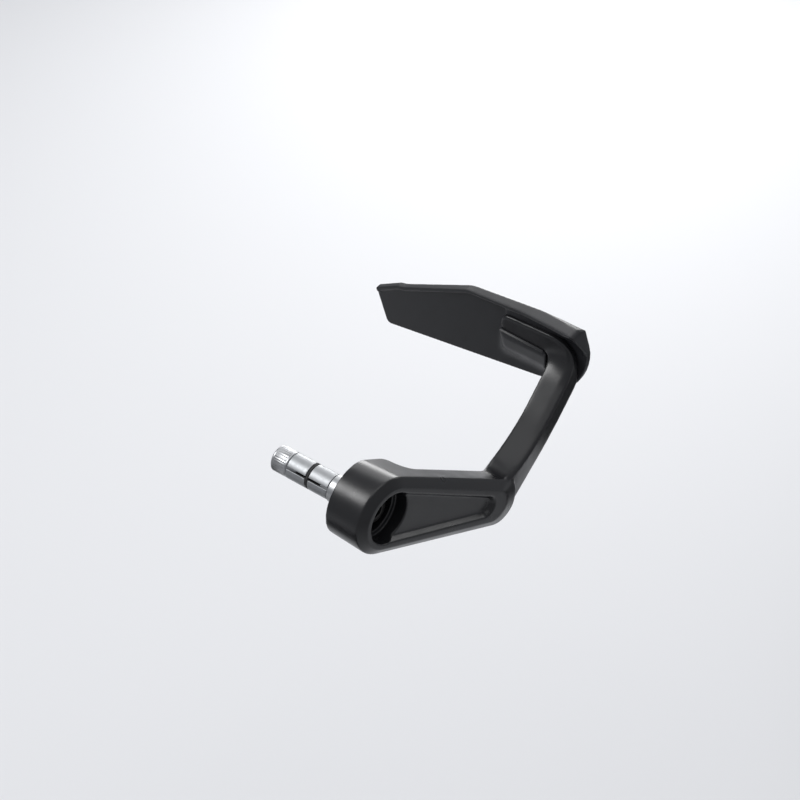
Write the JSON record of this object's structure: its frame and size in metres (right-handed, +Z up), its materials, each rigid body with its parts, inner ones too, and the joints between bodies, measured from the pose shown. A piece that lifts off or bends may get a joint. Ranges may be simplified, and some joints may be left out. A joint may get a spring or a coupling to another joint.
{
  "type": "brake lever guard",
  "caption": "Lever guard for a handlebar end: an angled cast arm runs forward from the bar end and carries a moulded wind deflector; an expanding anchor grips inside the bar.",
  "frame": {"origin": "centre of the boss's face that seats on the end of the handlebar, on the bar's axis", "axes": "+X outward along the bar, away from its end; +Y forward, from the rider to the deflector; +Z up"},
  "size_m": [0.1315, 0.1689, 0.0753],
  "materials": {
    "arm": "satin black powder coat on cast aluminium",
    "deflector": "fine moulded grain",
    "screw": "black oxide",
    "sleeve": "turned",
    "bolt": "black oxide",
    "washer": "black oxide",
    "bush": "turned",
    "wedge": "machined",
    "ring": "smooth rubber",
    "nut": "zinc plated"
  },
  "bodies": {
    "root": {"guard_arm": "arm", "wind_deflector": "deflector", "deflector_screw_outer": "screw", "deflector_screw_inner": "screw", "screw_sleeve_outer": "sleeve", "screw_sleeve_inner": "sleeve", "bar_end_bolt": "bolt", "bolt_washer": "washer", "spigot_bush": "bush", "wedge_upper": "wedge", "wedge_front": "wedge", "wedge_rear": "wedge", "wedge_ring": "ring", "cone_nut": "nut"}
  },
  "joints": []
}
